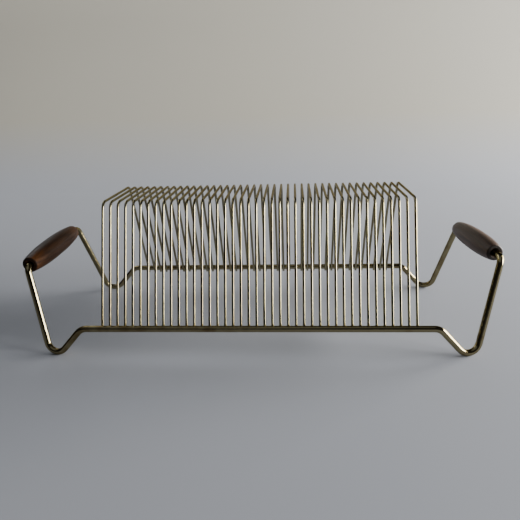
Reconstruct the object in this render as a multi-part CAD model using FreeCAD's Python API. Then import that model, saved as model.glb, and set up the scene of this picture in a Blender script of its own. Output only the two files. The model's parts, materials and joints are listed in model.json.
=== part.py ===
import FreeCAD, Part
import math
import os

# Wire rack for small gramophone records: two bent frame rods, forty-one
# welded divider wires and two turned wooden carry handles.
# Frame: X along the rack (left to right), Y from front to rear, Z up.
# The four rounded rod feet rest on the plane Z = 0.

V = FreeCAD.Vector

# ---- driving dimensions, millimetres -------------------------------------
ROD_D = 6.0               # frame rod
WIRE_D = 2.5              # divider wire
WELD_SINK = 0.3           # depth a divider wire is fused into a rail
WIRE_COUNT = 41           # forty record slots
PITCH = 7.25              # spacing of the divider wires

RAIL_Y = 85.8             # rail centre, front and rear
RAIL_HALF = 164.0         # rail corner, left and right
FOOT_X = 196.4            # where the two foot straights would meet
FOOT_Y = 85.5
FOOT_DROP = 35.5          # that meeting point below the rail centre
GRIP_X = 218.6            # where an upright meets the handle axis
GRIP_Y = 62.3
GRIP_RISE = 56.0          # that corner above the rail centre
GRIP_TWIST = 0.028        # one end of each rod is bent longer than the other
FOOT_BEND = 11.0          # centreline radii
RAIL_BEND = 11.0
GRIP_BEND = 8.0
STUB_GAP = 14.0           # from handle middle to the tip of each rod stub

TOP_HALF = 41.3           # divider wire top corner, front and rear
TOP_RISE = 109.7          # divider wire top above the rail centre
TOP_BEND = 8.0
LEG_PROUD = 1.0           # wire tip showing below the rail
TIP_CHAMFER = 0.3

HANDLE_LEN = 104.0
HANDLE_MID_R = 10.5
HANDLE_END_R = 7.3
HANDLE_FULLNESS = 2.6     # power of the barrel curve, 2 is a plain arc
HANDLE_STATIONS = 9
HANDLE_ROUND = 1.2        # soft edge of the turned ends
BORE_D = 6.2              # runs freely on the 6.0 rod stubs
SINK_D = 9.2              # countersunk mouth of the bore
SINK_DEPTH = 1.6
HANDLE_SHIFT = 4.8        # left handle lies forward, right handle rearward


# ---- path helpers --------------------------------------------------------
def unit(a, b):
    d = b.sub(a)
    d.normalize()
    return d


def bend(before, corner, after, radius):
    """Tangent points and mid point of the arc that rounds a corner."""
    u = unit(corner, before)
    w = unit(corner, after)
    half = u.getAngle(w) / 2.0
    reach = radius / math.tan(half)
    start = corner + u * reach
    end = corner + w * reach
    inward = u + w
    inward.normalize()
    centre = corner + inward * (radius / math.sin(half))
    return start, centre - inward * radius, end


def bent_rod(points, radii, diameter):
    """A round bar following straight runs joined by tangent bends."""
    edges = []
    here = points[0]
    for i, radius in enumerate(radii):
        start, middle, end = bend(points[i], points[i + 1], points[i + 2], radius)
        edges.append(Part.makeLine(here, start))
        edges.append(Part.Arc(start, middle, end).toShape())
        here = end
    edges.append(Part.makeLine(here, points[-1]))
    path = Part.Wire(edges)
    aim = unit(points[0], points[1])
    ring = Part.makeCircle(diameter / 2.0, points[0], aim)
    disc = Part.Face(Part.Wire(ring))
    bar = path.makePipe(disc)
    if bar.Volume < 0:
        bar = bar.reversed()
    return bar


def soften_tips(bar, tips, size):
    """Break the sharp edge at the cut ends of a bar."""
    rims = []
    for edge in bar.Edges:
        if not isinstance(edge.Curve, Part.Circle):
            continue
        for tip in tips:
            if edge.Curve.Center.distanceToPoint(tip) < 0.01:
                rims.append(edge)
    return bar.makeChamfer(size, rims)


# ---- frame layout --------------------------------------------------------
def foot_corner(sx, rail_z):
    return V(sx * FOOT_X, -FOOT_Y, rail_z - FOOT_DROP)


def grip_corner(sx, rail_z):
    """Front rod: the left upright is a little short, the right one long."""
    foot = foot_corner(sx, rail_z)
    grip = V(sx * GRIP_X, -GRIP_Y, rail_z + GRIP_RISE)
    reach = 1.0 + sx * GRIP_TWIST
    return foot + (grip - foot) * reach


def rail_corner(sx, rail_z):
    return V(sx * RAIL_HALF, -RAIL_Y, rail_z)


def lowest_of_foot(rail_z):
    """Underside of the rounded foot for a given rail height."""
    foot = foot_corner(1, rail_z)
    u = unit(foot, rail_corner(1, rail_z))
    w = unit(foot, grip_corner(1, rail_z))
    half = u.getAngle(w) / 2.0
    inward = u + w
    inward.normalize()
    centre = foot + inward * (FOOT_BEND / math.sin(half))
    plane = u.cross(w)
    plane.normalize()
    down = math.sqrt(1.0 - plane.z ** 2)
    return centre.z - FOOT_BEND * down - ROD_D / 2.0


RAIL_Z = -lowest_of_foot(0.0)
HALF_TURN = FreeCAD.Rotation(V(0, 0, 1), 180)


def turned(point):
    return HALF_TURN.multVec(point)


# The rear rod is the front rod turned end for end, so the handle axes run
# from a front corner to the half-turned opposite front corner.
LEFT_FRONT = grip_corner(-1, RAIL_Z)
RIGHT_FRONT = grip_corner(1, RAIL_Z)
LEFT_REAR = turned(RIGHT_FRONT)
RIGHT_REAR = turned(LEFT_FRONT)

LEFT_MID = (LEFT_FRONT + LEFT_REAR) * 0.5
RIGHT_MID = (RIGHT_FRONT + RIGHT_REAR) * 0.5
LEFT_AIM = unit(LEFT_FRONT, LEFT_REAR)
RIGHT_AIM = unit(RIGHT_FRONT, RIGHT_REAR)


def frame_rod():
    """The front rod, from the left handle stub to the right handle stub."""
    points = [
        LEFT_MID - LEFT_AIM * STUB_GAP,
        LEFT_FRONT,
        foot_corner(-1, RAIL_Z),
        rail_corner(-1, RAIL_Z),
        rail_corner(1, RAIL_Z),
        foot_corner(1, RAIL_Z),
        RIGHT_FRONT,
        RIGHT_MID - RIGHT_AIM * STUB_GAP,
    ]
    radii = [GRIP_BEND, FOOT_BEND, RAIL_BEND, RAIL_BEND, FOOT_BEND, GRIP_BEND]
    bar = bent_rod(points, radii, ROD_D)
    return soften_tips(bar, [points[0], points[-1]], 0.6)


# ---- divider wires -------------------------------------------------------
def leg_splay():
    """Angle of a leg from upright when it lies against the inner side of a rail."""
    to_rail = math.hypot(RAIL_Y - TOP_HALF, TOP_RISE)
    reach = (ROD_D + WIRE_D) / 2.0 - WELD_SINK
    return math.atan2(RAIL_Y - TOP_HALF, TOP_RISE) - math.asin(reach / to_rail)


def leg_y(z):
    """Distance of a leg's centreline from the middle of the rack at height z."""
    return TOP_HALF + math.tan(leg_splay()) * (RAIL_Z + TOP_RISE - z)


def divider_wire(x):
    low = RAIL_Z - ROD_D / 2.0 - LEG_PROUD
    top = RAIL_Z + TOP_RISE
    points = [
        V(x, -leg_y(low), low),
        V(x, -TOP_HALF, top),
        V(x, TOP_HALF, top),
        V(x, leg_y(low), low),
    ]
    bar = bent_rod(points, [TOP_BEND, TOP_BEND], WIRE_D)
    return soften_tips(bar, [points[0], points[-1]], TIP_CHAMFER)


# ---- handles -------------------------------------------------------------
def barrel_points(half):
    """Side of the grip: fullest in the middle, drawn in towards both ends."""
    points = []
    for i in range(HANDLE_STATIONS):
        t = 2.0 * i / (HANDLE_STATIONS - 1) - 1.0
        drawn_in = (HANDLE_MID_R - HANDLE_END_R) * abs(t) ** HANDLE_FULLNESS
        points.append(V(HANDLE_MID_R - drawn_in, 0, t * half))
    return points


def turned_handle(middle, aim, shift):
    """Barrel-shaped grip, bored through, laid along the rod stub axis."""
    half = HANDLE_LEN / 2.0
    curve = Part.BSplineCurve()
    curve.interpolate(barrel_points(half))
    outline = Part.Wire([
        Part.makeLine(V(0, 0, -half), V(HANDLE_END_R, 0, -half)),
        curve.toShape(),
        Part.makeLine(V(HANDLE_END_R, 0, half), V(0, 0, half)),
        Part.makeLine(V(0, 0, half), V(0, 0, -half)),
    ])
    body = Part.Face(outline).revolve(V(0, 0, 0), V(0, 0, 1), 360)
    rims = []
    for edge in body.Edges:
        if isinstance(edge.Curve, Part.Circle) and abs(abs(edge.Curve.Center.z) - half) < 0.01:
            rims.append(edge)
    body = body.makeFillet(HANDLE_ROUND, rims)
    bore = Part.makeCylinder(BORE_D / 2.0, HANDLE_LEN + 2, V(0, 0, -half - 1))
    cutters = [bore]
    for side in (-1, 1):
        mouth = V(0, 0, side * half)
        cone = Part.makeCone(SINK_D / 2.0, BORE_D / 2.0, SINK_DEPTH, mouth, V(0, 0, -side))
        cutters.append(cone)
    body = body.cut(Part.makeCompound(cutters))
    body = body.Solids[0]
    body.Placement = FreeCAD.Placement(
        middle + aim * shift,
        FreeCAD.Rotation(V(0, 0, 1), aim),
    )
    return body


# ---- build and export ----------------------------------------------------
def main():
    os.makedirs("parts", exist_ok=True)

    front = frame_rod()
    rear = front.copy()
    rear.rotate(V(0, 0, 0), V(0, 0, 1), 180)
    front.exportStep("parts/front_frame_rod.step")
    rear.exportStep("parts/rear_frame_rod.step")

    for number in range(1, WIRE_COUNT + 1):
        x = (number - (WIRE_COUNT + 1) / 2.0) * PITCH
        wire = divider_wire(x)
        wire.exportStep("parts/divider_wire_%02d.step" % number)

    left = turned_handle(LEFT_MID, LEFT_AIM, -HANDLE_SHIFT)
    right = turned_handle(RIGHT_MID, RIGHT_AIM, HANDLE_SHIFT)
    left.exportStep("parts/left_handle.step")
    right.exportStep("parts/right_handle.step")

    print("rail height", round(RAIL_Z, 3), "top", round(RAIL_Z + TOP_RISE + WIRE_D / 2, 3))
    print("left axis point", LEFT_MID, "aim", LEFT_AIM)
    print("right axis point", RIGHT_MID, "aim", RIGHT_AIM)
    print("leg y at rail", leg_y(RAIL_Z))
    for name, solid in (("rod", front), ("rear", rear), ("wire", wire), ("handle", left)):
        box = solid.BoundBox
        print(name, solid.isValid(), len(solid.Solids), round(solid.Volume, 1),
              [round(v, 2) for v in (box.XMin, box.XMax, box.YMin, box.YMax, box.ZMin, box.ZMax)],
              [type(f.Surface).__name__ for f in solid.Faces])


main()
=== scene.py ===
import json
import math
import random

import bmesh
import bpy
from mathutils import Matrix, Vector


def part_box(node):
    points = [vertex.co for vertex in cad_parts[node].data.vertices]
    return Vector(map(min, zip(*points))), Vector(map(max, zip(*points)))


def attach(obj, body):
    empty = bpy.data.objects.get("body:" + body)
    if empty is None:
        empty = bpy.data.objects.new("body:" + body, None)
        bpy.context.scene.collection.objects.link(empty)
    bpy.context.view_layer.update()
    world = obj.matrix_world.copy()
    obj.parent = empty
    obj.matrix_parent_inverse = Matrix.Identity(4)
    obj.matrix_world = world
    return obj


# A wire record rack: two bent rods and forty-one divider wires, brass
# plated, with a turned walnut handle at each end. The pieces come from the
# frame and get their materials here. The weld metal between the wires and
# the rails is made here, as one piece along each rail.

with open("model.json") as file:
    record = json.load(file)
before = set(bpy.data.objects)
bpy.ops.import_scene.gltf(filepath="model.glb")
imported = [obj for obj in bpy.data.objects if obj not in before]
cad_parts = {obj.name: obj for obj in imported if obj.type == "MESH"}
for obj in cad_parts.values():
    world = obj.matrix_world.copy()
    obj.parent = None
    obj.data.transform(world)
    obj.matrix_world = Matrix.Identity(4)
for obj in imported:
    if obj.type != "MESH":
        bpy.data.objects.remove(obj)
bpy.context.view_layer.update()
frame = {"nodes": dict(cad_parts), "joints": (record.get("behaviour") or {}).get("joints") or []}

NODES = frame["nodes"]
MM = 0.001

# ---- names and places read from the frame --------------------------------
WIRES = sorted(name for name in NODES if name.startswith("divider_wire_"))
RODS = ["front_frame_rod", "rear_frame_rod"]
HANDLES = {joint["child"]: joint for joint in frame["joints"]}

ROD_R = 3.0 * MM          # radius of a frame rod
WIRE_R = 1.25 * MM        # radius of a divider wire


# ---- camera --------------------------------------------------------------
CAM_PLACE = Vector((34.9, -505.1, 233.2)) * MM
CAM_YAW = 0.0707          # radians, turned towards the left end
CAM_PITCH = 0.3210        # looking down
CAM_ROLL = -0.0310
CAM_LENS = 35.29          # mm
CAM_SENSOR = 36.0         # mm
CAM_NEAR = 0.01           # metres


def link(obj):
    bpy.context.scene.collection.objects.link(obj)
    return obj


def add_camera():
    cam = bpy.data.cameras.new("camera")
    cam.sensor_width = CAM_SENSOR
    cam.lens = CAM_LENS
    cam.clip_start = CAM_NEAR
    obj = link(bpy.data.objects.new("camera", cam))
    turn = Matrix.Rotation(CAM_YAW, 4, "Z")
    tip = Matrix.Rotation(math.pi / 2 - CAM_PITCH, 4, "X")
    roll = Matrix.Rotation(CAM_ROLL, 4, "Z")
    obj.matrix_world = Matrix.Translation(CAM_PLACE) @ turn @ tip @ roll
    bpy.context.scene.camera = obj


# ---- node helpers --------------------------------------------------------
class Shader:
    """A material's node tree with short calls to add and join nodes."""

    def __init__(self, name):
        self.mat = bpy.data.materials.new(name)
        self.mat.use_nodes = True
        self.tree = self.mat.node_tree
        self.bsdf = self.tree.nodes["Principled BSDF"]

    def add(self, kind, **values):
        node = self.tree.nodes.new(kind)
        for key, value in values.items():
            setattr(node, key, value)
        return node

    def join(self, source, target):
        self.tree.links.new(source, target)

    def feed(self, source, name):
        """Join a socket to an input of the surface."""
        self.join(source, self.bsdf.inputs[name])

    def set(self, **values):
        for key, value in values.items():
            self.bsdf.inputs[key.replace("_", " ")].default_value = value

    def place(self, turn=(0, 0, 0)):
        """Object-space position in metres, turned."""
        coords = self.add("ShaderNodeTexCoord")
        mapping = self.add("ShaderNodeMapping")
        mapping.inputs["Rotation"].default_value = turn
        self.join(coords.outputs["Object"], mapping.inputs["Vector"])
        return mapping.outputs["Vector"]

    def split(self, vector):
        node = self.add("ShaderNodeSeparateXYZ")
        self.join(vector, node.inputs[0])
        return node.outputs

    def noise(self, vector, scale, detail, rough):
        node = self.add("ShaderNodeTexNoise")
        node.inputs["Scale"].default_value = scale
        node.inputs["Detail"].default_value = detail
        node.inputs["Roughness"].default_value = rough
        self.join(vector, node.inputs["Vector"])
        return node.outputs["Fac"]

    def ramp(self, value, stops):
        node = self.add("ShaderNodeValToRGB")
        ramp = node.color_ramp
        while len(ramp.elements) < len(stops):
            ramp.elements.new(0.5)
        for element, (at, colour) in zip(ramp.elements, stops):
            element.position = at
            element.color = (*colour, 1)
        self.join(value, node.inputs["Fac"])
        return node.outputs["Color"]

    def fade(self, value, low, high, out_low=0.0, out_high=1.0):
        node = self.add("ShaderNodeMapRange")
        node.inputs["From Min"].default_value = low
        node.inputs["From Max"].default_value = high
        node.inputs["To Min"].default_value = out_low
        node.inputs["To Max"].default_value = out_high
        self.join(value, node.inputs["Value"])
        return node.outputs["Result"]

    def maths(self, operation, *values):
        """Arithmetic on sockets and numbers."""
        node = self.add("ShaderNodeMath", operation=operation)
        for socket, value in zip(node.inputs, values):
            if isinstance(value, (int, float)):
                socket.default_value = value
            else:
                self.join(value, socket)
        return node.outputs["Value"]

    def vectors(self, operation, vector, constant):
        """Arithmetic on a vector socket and a constant vector."""
        node = self.add("ShaderNodeVectorMath", operation=operation)
        self.join(vector, node.inputs[0])
        node.inputs[1].default_value = constant
        return node.outputs["Value" if operation == "DOT_PRODUCT" else "Vector"]

    def mix(self, factor, a, b):
        """Blend of two colours, each a socket or a tuple."""
        node = self.add("ShaderNodeMix", data_type="RGBA")
        # the node's colour sockets are its seventh and eighth inputs
        for index, value in ((0, factor), (6, a), (7, b)):
            socket = node.inputs[index]
            if isinstance(value, (int, float)):
                socket.default_value = value
            elif isinstance(value, tuple):
                socket.default_value = (*value, 1)
            else:
                self.join(value, socket)
        return node.outputs[2]

    def bump(self, height, distance, strength=1.0, under=None):
        node = self.add("ShaderNodeBump")
        node.inputs["Distance"].default_value = distance
        node.inputs["Strength"].default_value = strength
        self.join(height, node.inputs["Height"])
        if under is not None:
            self.join(under, node.inputs["Normal"])
        return node.outputs["Normal"]


def wear(names, mat):
    """Give a material to every slot of the named pieces."""
    for name in names:
        for slot in NODES[name].material_slots:
            slot.material = mat


# ---- brass-plated metal --------------------------------------------------
# bright plating, tarnished plating, and roughness where it is bright
PLATING = {
    "gilt_rod": ((0.262, 0.228, 0.132), (0.162, 0.122, 0.060), 0.10),
    "gilt_wire": ((0.282, 0.262, 0.172), (0.205, 0.175, 0.100), 0.08),
    "gilt_weld": ((0.21, 0.170, 0.098), (0.10, 0.068, 0.034), 0.24),
}
EDGE_TINT = (0.50, 0.45, 0.34, 1)   # tarnished plating mirrors less and browner at a glance

# noise scales, per metre
CLOUD_SCALE = 70.0        # clouds of tarnish, about 14 mm across
DRIFT_SCALE = 9.0         # long stretches that are duller or brighter
FRECKLE_SCALE = 900.0     # freckles and pits, about 1 mm across
GRAIN_SCALE = 3200.0      # grain of the drawn metal, about 0.3 mm

DULL_TINT = (0.35, 0.30, 0.25)      # a freckle's colour, as a share of the tarnish
FRECKLE_COVER = 0.55      # how fully it hides the plating
FRECKLE_ROUGH = 0.20      # how much rougher it is
TARNISH_ROUGH = 0.05      # and how much rougher tarnish is than bright plating
PIT_DEPTH = 0.022 * MM
GRAIN_DEPTH = 0.008 * MM


def tinted(colour, tone):
    return tuple(c * k for c, k in zip(colour, tone))


def gilt_metal(name):
    """Brass-plated drawn steel: clouded plating, fine pits and dull freckles."""
    bright, tarnish, gloss = PLATING[name]
    s = Shader(name)
    here = s.place()
    drift = s.fade(s.noise(here, DRIFT_SCALE, 2.0, 0.5), 0.44, 0.62, -0.10, 0.10)
    clouds = s.maths("ADD", s.noise(here, CLOUD_SCALE, 4.0, 0.6), drift)
    plating = s.ramp(clouds, [(0.28, tarnish), (0.52, bright)])
    spots = s.fade(s.noise(here, FRECKLE_SCALE, 2.0, 0.55), 0.64, 0.76)
    cover = s.maths("MULTIPLY", spots, FRECKLE_COVER)
    s.feed(s.mix(cover, plating, tinted(tarnish, DULL_TINT)), "Base Color")

    worn = s.fade(clouds, 0.30, 0.75, gloss + TARNISH_ROUGH, gloss)
    rough = s.maths("ADD", worn, s.maths("MULTIPLY", spots, FRECKLE_ROUGH))
    s.feed(rough, "Roughness")
    s.set(Metallic=1.0, Specular_Tint=EDGE_TINT)

    pits = s.bump(s.maths("SUBTRACT", 1.0, spots), PIT_DEPTH)
    grain = s.noise(here, GRAIN_SCALE, 2.0, 0.5)
    s.feed(s.bump(grain, GRAIN_DEPTH, under=pits), "Normal")
    return s.mat


def dress_frame():
    wear(RODS, gilt_metal("gilt_rod"))
    wear(WIRES, gilt_metal("gilt_wire"))


# ---- walnut --------------------------------------------------------------
# tint of each handle's wood, and how much its oil shines: the right one
# shines more, and its paler tint is painted sheen for the pale wall it mirrors
HANDLE_TINTS_WITH_PAINTED_SHEEN = {
    "left_handle": ((1.00, 0.93, 0.68), 0.14),
    "right_handle": ((1.18, 1.04, 0.76), 0.46),
}
WOOD_LIGHT = (0.054, 0.0220, 0.0072)
WOOD_MID = (0.032, 0.0115, 0.0032)
WOOD_DARK = (0.017, 0.0065, 0.0022)
WOOD_PORE = (0.008, 0.004, 0.002)
# near black on the flat ends: partly darker end grain, partly painted shade
WOOD_END_AND_PAINTED_SHADE = (0.006, 0.0035, 0.0025)

# in grain space, where the grain runs along Y
HEART = Vector((0.021, 0.0, 0.013))  # from the middle of a handle to the heart of the tree
RING_PITCH = 2.1 * MM
RING_WANDER = 10 * MM     # how far a ring strays from a circle
WANDER_SCALE = 55.0       # per metre
RING_STRETCH = (1.0, 0.10, 1.0)     # rings change slowly along the grain
FIBRE_STRETCH = (1.0, 0.045, 1.0)   # and fibres more slowly
BAND_SCALE = 420.0        # soft bands, about 2.4 mm across
FIBRE_SCALE = 2600.0      # open pores, about 0.4 mm across
PORE_DEPTH = 0.06 * MM
BAND_DEPTH = 0.05 * MM
PORE_COVER = 0.6          # how fully pores darken the wood
END_AND_SHADE_COVER = 0.82          # and how fully the ends darken: end grain and painted shade


def growth_rings(s, local, centre):
    """A saw-tooth from 0 to 1 across each ring round the heart of the tree."""
    from_heart = s.vectors("SUBTRACT", local, centre + HEART)
    stretched = s.vectors("MULTIPLY", from_heart, RING_STRETCH)
    across = s.split(stretched)
    squares = [s.maths("MULTIPLY", across[i], across[i]) for i in ("X", "Z")]
    radius = s.maths("SQRT", s.maths("ADD", *squares))
    wander = s.noise(stretched, WANDER_SCALE, 2.0, 0.5)
    radius = s.maths("ADD", radius, s.maths("MULTIPLY", wander, RING_WANDER))
    return s.maths("FRACT", s.maths("MULTIPLY", radius, 1.0 / RING_PITCH))


def end_grain_and_painted_shade(s, axis):
    """1 on the flat ends of a handle, 0 on its side: where darker end grain and painted shade
    go.
    """
    coords = s.add("ShaderNodeTexCoord")
    along = s.vectors("DOT_PRODUCT", coords.outputs["Normal"], Vector(axis))
    return s.fade(s.maths("ABSOLUTE", along), 0.55, 0.9)


def walnut(name, axis, centre, tone, sheen):
    """Oiled walnut with its grain along the handle; the ends are painted near black, partly
    darker end grain and partly painted shade.
    """
    s = Shader(name)
    to_grain = Vector(axis).rotation_difference(Vector((0, 1, 0))).to_euler()
    local = s.place(tuple(to_grain))
    ring = growth_rings(s, local, to_grain.to_matrix() @ Vector(centre))
    streak = s.vectors("MULTIPLY", local, FIBRE_STRETCH)
    band = s.noise(streak, BAND_SCALE, 3.0, 0.55)
    pores = s.fade(s.noise(streak, FIBRE_SCALE, 3.0, 0.6), 0.56, 0.66)

    # on the right handle the tone also pales the wood: painted sheen
    light, mid, dark = (tinted(colour, tone) for colour in (WOOD_LIGHT, WOOD_MID, WOOD_DARK))
    rings = s.ramp(ring, [(0.0, mid), (0.55, light), (0.90, dark), (1.0, mid)])
    bands = s.ramp(band, [(0.32, dark), (0.55, mid), (0.78, light)])
    wood = s.mix(0.55, rings, bands)
    wood = s.mix(s.maths("MULTIPLY", pores, PORE_COVER), wood, WOOD_PORE)
    # the ends darken near black: partly end grain, partly painted shade
    ends = s.maths("MULTIPLY", end_grain_and_painted_shade(s, axis), END_AND_SHADE_COVER)
    s.feed(s.mix(ends, wood, WOOD_END_AND_PAINTED_SHADE), "Base Color")

    s.feed(s.fade(band, 0.3, 0.7, 0.56, 0.44), "Roughness")
    s.set(Specular_IOR_Level=sheen)
    furrow = s.bump(s.maths("SUBTRACT", 1.0, pores), PORE_DEPTH, 0.8)
    s.feed(s.bump(band, BAND_DEPTH, 0.6, under=furrow), "Normal")
    return s.mat


def dress_handles():
    for name, joint in sorted(HANDLES.items()):
        wood = walnut("walnut_" + name, joint["axis"], joint["pos_m"], *HANDLE_TINTS_WITH_PAINTED_SHEEN[name])
        wear([name], wood)


# ---- welds ---------------------------------------------------------------
# the rod, the side of the rack and the seed of each row of beads
WELDS = {
    "weld_beads_front": ("front_frame_rod", -1, 11),
    "weld_beads_rear": ("rear_frame_rod", 1, 12),
}
BEAD_ACROSS = 1.10 * MM   # half width of a weld along the rail
BEAD_ALONG = 1.70 * MM    # half length along the wire
BEAD_FOOT = 0.32          # how much it spreads where it wets the rail
BEAD_LIP = 0.08           # and where it wets the wire
BEAD_WAIST = 0.10         # how much it draws in between the two
BEAD_ROWS = 7
BEAD_SIDES = 18
BEAD_SWELLS = 3           # its outline has waves of two, three and four round it
BEAD_ROUGH = 0.06         # greatest height of a wave
BEAD_SPREAD = 0.08        # a weld may be this much larger or smaller than the average
BEAD_SKIN = 0.05 * MM     # how far its rims reach under the two surfaces
BEAD_TIP = 0.5 * MM       # depth of the points that close it, inside rod and wire
BEAD_ON_WIRE = 0.96       # widest it may be, as a share of the wire
BEAD_ON_ROD = 0.92        # longest it may be, as a share of the rod
RAIL_SLACK = 0.1 * MM     # tells the section rings of a rail from the rest
LEG_SLACK = 0.2 * MM      # and those of a leg


def mean(points):
    return sum(points, Vector()) / len(points)


def clamp(value, limit):
    return max(-limit, min(limit, value))


def rail_centre(rod):
    """Middle of the straight rail, from the section ring at each of its ends."""
    points = [v.co for v in rod.data.vertices]
    inmost = min(abs(p.x) for p in points) + RAIL_SLACK
    ends = [p for p in points if abs(p.x) < inmost]
    low = Vector([min(p[i] for p in ends) for i in range(3)])
    high = Vector([max(p[i] for p in ends) for i in range(3)])
    return (low + high) / 2


def leg_line(wire, side):
    """A point on a leg's axis near its foot, and the way the leg rises."""
    points = [v.co for v in wire.data.vertices if v.co.y * side > 0]
    half = (min(p.z for p in points) + max(p.z for p in points)) / 2
    foot = mean([p for p in points if p.z < half])
    upper = [p for p in points if p.z > half]
    rough = (min(upper, key=lambda p: (p - foot).length) - foot).normalized()
    first = min((p - foot).dot(rough) for p in upper) + LEG_SLACK
    ring = mean([p for p in upper if (p - foot).dot(rough) < first])
    return foot, (ring - foot).normalized()


def bead_reach(rise, turn, swell):
    """Outline of a weld; rise goes from -1 on the rail to 1 on the wire."""
    wetting = BEAD_FOOT if rise < 0 else BEAD_LIP
    spread = 1 - BEAD_WAIST * (1 - rise ** 2) + wetting * rise ** 2
    waves = sum(
        height * math.sin((n + 2) * turn + phase)
        for n, (phase, height) in enumerate(swell)
    )
    return spread * (1 + waves)


def weld_bead(bm, centre, along, out, gap, rng):
    """One fillet of metal round the spot where a wire is welded to a rail.

    centre is halfway between the two surfaces, out points from the rail to
    the wire, and gap is the (negative) distance between the surfaces there."""
    across = along.cross(out)
    swell = []
    for _ in range(BEAD_SWELLS):
        phase = rng.uniform(0, 2 * math.pi)
        swell.append((phase, rng.uniform(0.4, 1.0) * BEAD_ROUGH))
    size = rng.uniform(1 - BEAD_SPREAD, 1 + BEAD_SPREAD)
    rows = []
    for k in range(BEAD_ROWS):
        rise = 2 * k / (BEAD_ROWS - 1) - 1
        row = []
        for i in range(BEAD_SIDES):
            turn = 2 * math.pi * i / BEAD_SIDES
            reach = size * bead_reach(rise, turn, swell)
            u = clamp(BEAD_ACROSS * reach * math.cos(turn), BEAD_ON_WIRE * WIRE_R)
            v = clamp(BEAD_ALONG * reach * math.sin(turn), BEAD_ON_ROD * ROD_R)
            rail = -gap / 2 - ROD_R + math.sqrt(ROD_R ** 2 - v * v) - BEAD_SKIN
            wire = gap / 2 + WIRE_R - math.sqrt(WIRE_R ** 2 - u * u) + BEAD_SKIN
            height = rail + (wire - rail) * (rise + 1) / 2
            row.append(bm.verts.new(centre + across * u + along * v + out * height))
        rows.append(row)
    for low, high in zip(rows, rows[1:]):
        for i in range(BEAD_SIDES):
            j = (i + 1) % BEAD_SIDES
            bm.faces.new((low[i], low[j], high[j], high[i]))
    for row, side in ((rows[0][::-1], -1), (rows[-1], 1)):
        tip = bm.verts.new(centre + out * side * BEAD_TIP)
        for i in range(BEAD_SIDES):
            bm.faces.new((row[i], row[(i + 1) % BEAD_SIDES], tip))


def smooth_mesh(name, bm, mat):
    """A linked object that holds the finished mesh, shaded smooth."""
    for face in bm.faces:
        face.smooth = True
    mesh = bpy.data.meshes.new(name)
    bm.to_mesh(mesh)
    bm.free()
    mesh.materials.append(mat)
    return link(bpy.data.objects.new(name, mesh))


def middle_x(wire):
    low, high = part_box(wire)
    return (low[0] + high[0]) / 2


def add_welds(name, rod_name, side, seed, mat):
    """The welds along one rail; the wires are alike, so the first is measured."""
    rng = random.Random(seed)
    foot, along = leg_line(NODES[WIRES[0]], side)
    rail = rail_centre(NODES[rod_name])
    rail.x = foot.x
    touch = foot + along * (rail - foot).dot(along)
    out = (touch - rail).normalized()
    gap = (touch - rail).length - ROD_R - WIRE_R
    spot = rail + out * (ROD_R + gap / 2)
    spot.x -= middle_x(WIRES[0])
    bm = bmesh.new()
    for wire in WIRES:
        place = spot + Vector((middle_x(wire), 0, 0))
        weld_bead(bm, place, along, out, gap, rng)
    bmesh.ops.recalc_face_normals(bm, faces=bm.faces)
    beads = smooth_mesh(name, bm, mat)
    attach(beads, "frame")


def dress_welds():
    weld = gilt_metal("gilt_weld")
    for name, (rod_name, side, seed) in WELDS.items():
        add_welds(name, rod_name, side, seed, weld)


# ---- stage ---------------------------------------------------------------
FLOOR_LEFT = -3.2         # metres
FLOOR_RIGHT = 2.2
FLOOR_HALF_DEPTH = 3.2
PAPER_LEFT = -1.25        # the paper hangs behind the rack, as wide as the view needs
PAPER_RIGHT = 0.98
PAPER_BEND_Y = 0.75       # where it starts to turn up
PAPER_BEND_R = 0.45
PAPER_TOP = 0.66
PAPER_STEPS = 24
PAPER_WARM_Z = 0.16       # height at which the paper has turned warm
PAPER_COOL = (0.250, 0.266, 0.308)
PAPER_WARM = (0.280, 0.272, 0.244)
PAPER_ROUGH = 0.95


def paper_profile():
    """Side view of the paper: from the floor, one quarter bend, then upright."""
    profile = [(PAPER_BEND_Y, 0.0)]
    for i in range(1, PAPER_STEPS + 1):
        turn = math.pi / 2 * i / PAPER_STEPS
        y = PAPER_BEND_Y + PAPER_BEND_R * math.sin(turn)
        profile.append((y, PAPER_BEND_R * (1 - math.cos(turn))))
    profile.append((profile[-1][0], PAPER_TOP))
    return profile


def add_strip(name, profile, left, right, mat):
    bm = bmesh.new()
    rows = [[bm.verts.new((x, y, z)) for x in (left, right)] for y, z in profile]
    for low, high in zip(rows, rows[1:]):
        bm.faces.new((low[0], low[1], high[1], high[0]))
    smooth_mesh(name, bm, mat)


def add_floor():
    """Cool grey paper underneath, turning to a warm white as it rises."""
    paper = Shader("floor_paper")
    height = paper.split(paper.place())["Z"]
    risen = paper.fade(height, 0.0, PAPER_WARM_Z)
    paper.feed(paper.mix(risen, PAPER_COOL, PAPER_WARM), "Base Color")
    paper.set(Roughness=PAPER_ROUGH)
    flat = [(-FLOOR_HALF_DEPTH, 0.0), (FLOOR_HALF_DEPTH, 0.0)]
    add_strip("floor", flat, FLOOR_LEFT, FLOOR_RIGHT, paper.mat)
    add_strip("backdrop", paper_profile(), PAPER_LEFT, PAPER_RIGHT, paper.mat)


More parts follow.
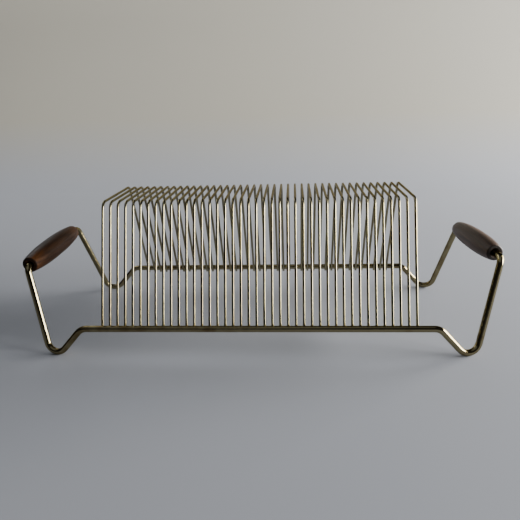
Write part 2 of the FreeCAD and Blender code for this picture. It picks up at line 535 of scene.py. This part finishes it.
# ---- light ---------------------------------------------------------------
# place and aim in metres, width and height in metres, watts, colour
LIGHTS = {
    "window": ((2.2, 0.30, 0.55), (0, 0.30, 0.55), (2.4, 1.09), 306, (1.0, 0.975, 0.92)),
    "wall_wash": ((-0.3, 0.35, 1.35), (-0.3, 1.2, 1.1), (1.6, 0.4), 12, (1.0, 0.96, 0.84)),
    "fill": ((-0.5, -0.6, 2.2), (0, 0, 0), (2.6, 2.6), 6, (0.95, 0.98, 1.0)),
    "left_back": ((-1.05, 0.95, 1.05), (0, 0, 0.05), (0.9, 0.6), 6, (0.97, 0.985, 1.0)),
}
ROOM_PALE = (0.150, 0.153, 0.160, 1)
ROOM_DARK = (0.022, 0.021, 0.020, 1)
ROOM_PALE_Z = 0.10        # the room is pale where a direction's z is below this
ROOM_DARK_Z = 0.23        # and dark where it is above this
ROOM_LEAN = 0.12          # how much lower both lie at the far left


def add_light(name, place, aim, size, power, colour):
    data = bpy.data.lights.new(name, "AREA")
    data.shape = "RECTANGLE"
    data.size, data.size_y = size
    data.energy = power
    data.color = colour
    obj = link(bpy.data.objects.new(name, data))
    way = Vector(aim) - Vector(place)
    look = way.to_track_quat("-Z", "Y").to_matrix().to_4x4()
    obj.matrix_world = Matrix.Translation(place) @ look
    obj.visible_camera = False


def add_lights():
    for name, values in LIGHTS.items():
        add_light(name, *values)


def add_world():
    """A dim room, paler low down: bright metal needs something dark to mirror.

    The pale band is lowest towards the left, which the wires mirror most."""
    world = bpy.data.worlds.new("studio")
    world.use_nodes = True
    tree = world.node_tree
    coords = tree.nodes.new("ShaderNodeTexCoord")
    split = tree.nodes.new("ShaderNodeSeparateXYZ")
    tree.links.new(coords.outputs["Generated"], split.inputs[0])
    lean = tree.nodes.new("ShaderNodeMapRange")
    lean.inputs["From Min"].default_value = -1.0
    lean.inputs["From Max"].default_value = 0.0
    lean.inputs["To Min"].default_value = ROOM_LEAN
    lean.inputs["To Max"].default_value = 0.0
    tree.links.new(split.outputs["X"], lean.inputs["Value"])
    rise = tree.nodes.new("ShaderNodeMath")
    rise.operation = "ADD"
    tree.links.new(split.outputs["Z"], rise.inputs[0])
    tree.links.new(lean.outputs["Result"], rise.inputs[1])
    ramp = tree.nodes.new("ShaderNodeValToRGB")
    tree.links.new(rise.outputs["Value"], ramp.inputs["Fac"])
    low, high = ramp.color_ramp.elements
    low.position, low.color = ROOM_PALE_Z, ROOM_PALE
    high.position, high.color = ROOM_DARK_Z, ROOM_DARK
    tree.links.new(ramp.outputs["Color"], tree.nodes["Background"].inputs["Color"])
    bpy.context.scene.world = world


# ---- everything in turn --------------------------------------------------
add_camera()
dress_frame()
dress_handles()
dress_welds()
add_floor()
add_lights()
add_world()
